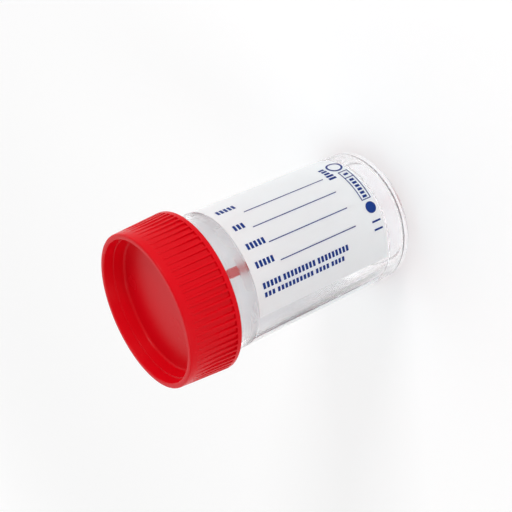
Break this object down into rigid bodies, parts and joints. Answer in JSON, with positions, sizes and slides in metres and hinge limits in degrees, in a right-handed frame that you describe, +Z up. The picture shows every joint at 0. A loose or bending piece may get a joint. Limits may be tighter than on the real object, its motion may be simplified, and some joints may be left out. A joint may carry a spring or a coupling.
{
  "type": "specimen container",
  "caption": "Clear cylindrical sample jar with a wrapped white label, a red ribbed screw cap with a recessed top, and a spoon hung from the cap.",
  "frame": {"origin": "centre of the base, on the plane of the foot ring", "axes": "+Z up the jar's axis to the cap; -Y faces the printed front of the label"},
  "size_m": [0.044, 0.044, 0.0747],
  "materials": {
    "clear_plastic": "clear, glossy",
    "red_plastic": "satin moulded",
    "label_film": "smooth white film",
    "label_ink": "printed ink"
  },
  "bodies": {
    "jar_body": {"jar": "clear_plastic", "label": "label_film", "label_print": "label_ink"},
    "spoon_body": {"spoon": "red_plastic"},
    "cap_body": {"cap": "red_plastic"}
  },
  "joints": [
    {"name": "cap_rise", "type": "slide", "parent": "jar_body", "child": "spoon_body", "axis": [0, 0, 1], "range_m": [0, 0.0032]},
    {"name": "cap_turn", "type": "hinge", "parent": "spoon_body", "child": "cap_body", "pos_m": [0, 0, 0.06], "axis": [0, 0, 1], "range_deg": [0, 360]}
  ],
  "couplings": [
    {"joint": "cap_rise", "follows": "cap_turn", "m_per_rad": 0.0005093}
  ]
}
